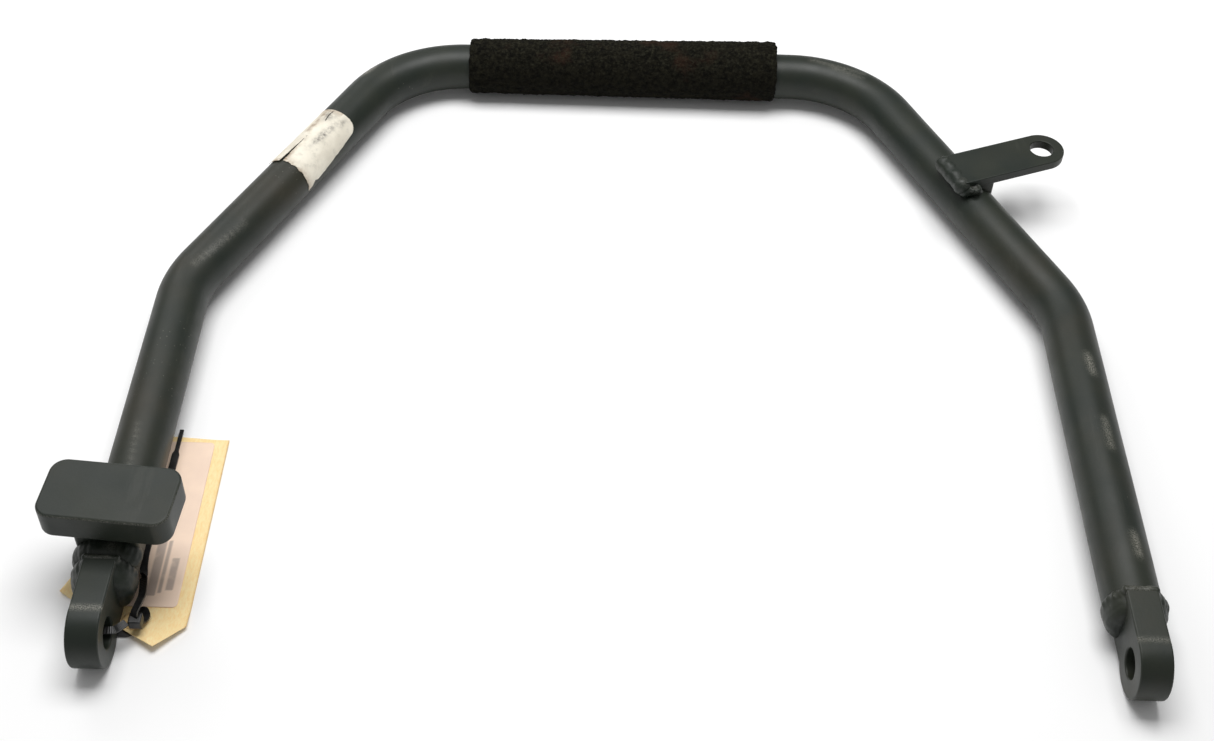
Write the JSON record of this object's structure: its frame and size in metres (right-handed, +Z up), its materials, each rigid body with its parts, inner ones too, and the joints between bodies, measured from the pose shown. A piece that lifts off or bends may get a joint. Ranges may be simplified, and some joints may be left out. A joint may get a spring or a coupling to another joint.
{
  "type": "aircraft tow bar handle",
  "caption": "Bow-shaped steel tube handle with a foam grip, two pivot eyes, a stop pad, a drilled tab and a tied card tag.",
  "frame": {"origin": "on the ground under the middle of the bounding box, with the handle lying flat on its grip and its two eyes", "axes": "+X from the left arm with the stop pad to the right arm with the drilled tab, +Y from the pivot eyes to the grip, +Z up"},
  "size_m": [0.6058, 0.543, 0.0631],
  "materials": {
    "painted_steel": "olive grey enamel, semi-gloss, scuffed on edges and bends",
    "grip_foam": "coarse open foam, matt, worn brownish black",
    "bow_label": "worn cream label with brown stains, no lettering",
    "tag_card": "manila card, matt",
    "tag_label": "pinkish paper with plain grey bars, no lettering",
    "tie_nylon": "black nylon, slight sheen"
  },
  "bodies": {
    "bow": {"bow_tube": "painted_steel", "foam_grip": "grip_foam", "left_eye_lug": "painted_steel", "left_lug_weld": "painted_steel", "right_eye_lug": "painted_steel", "right_lug_weld": "painted_steel", "stop_pad": "painted_steel", "pad_post": "painted_steel", "pad_post_weld_front": "painted_steel", "pad_weld_front": "painted_steel", "pad_post_weld_rear": "painted_steel", "pad_weld_rear": "painted_steel", "tab_plate": "painted_steel", "tab_foot": "painted_steel", "tab_root_weld": "painted_steel", "tab_front_weld": "painted_steel", "tab_rear_weld": "painted_steel", "bow_label": "bow_label"},
    "tie": {"tag_tie_strap": "tie_nylon", "tag_tie_head": "tie_nylon"},
    "tag": {"tag_card": "tag_card", "tag_patch": "tag_card", "tag_label": "tag_label"}
  },
  "joints": [
    {"name": "tie_swing", "type": "hinge", "parent": "bow", "child": "tie", "pos_m": [-0.27022, -0.25248, 0.01905], "axis": [1, 0, 0], "range_deg": [-225, 0]},
    {"name": "tag_swivel", "type": "hinge", "parent": "tie", "child": "tag", "pos_m": [-0.25462, -0.23234, 0.00185], "axis": [0, 0, 1], "range_deg": [-15, 10]}
  ]
}
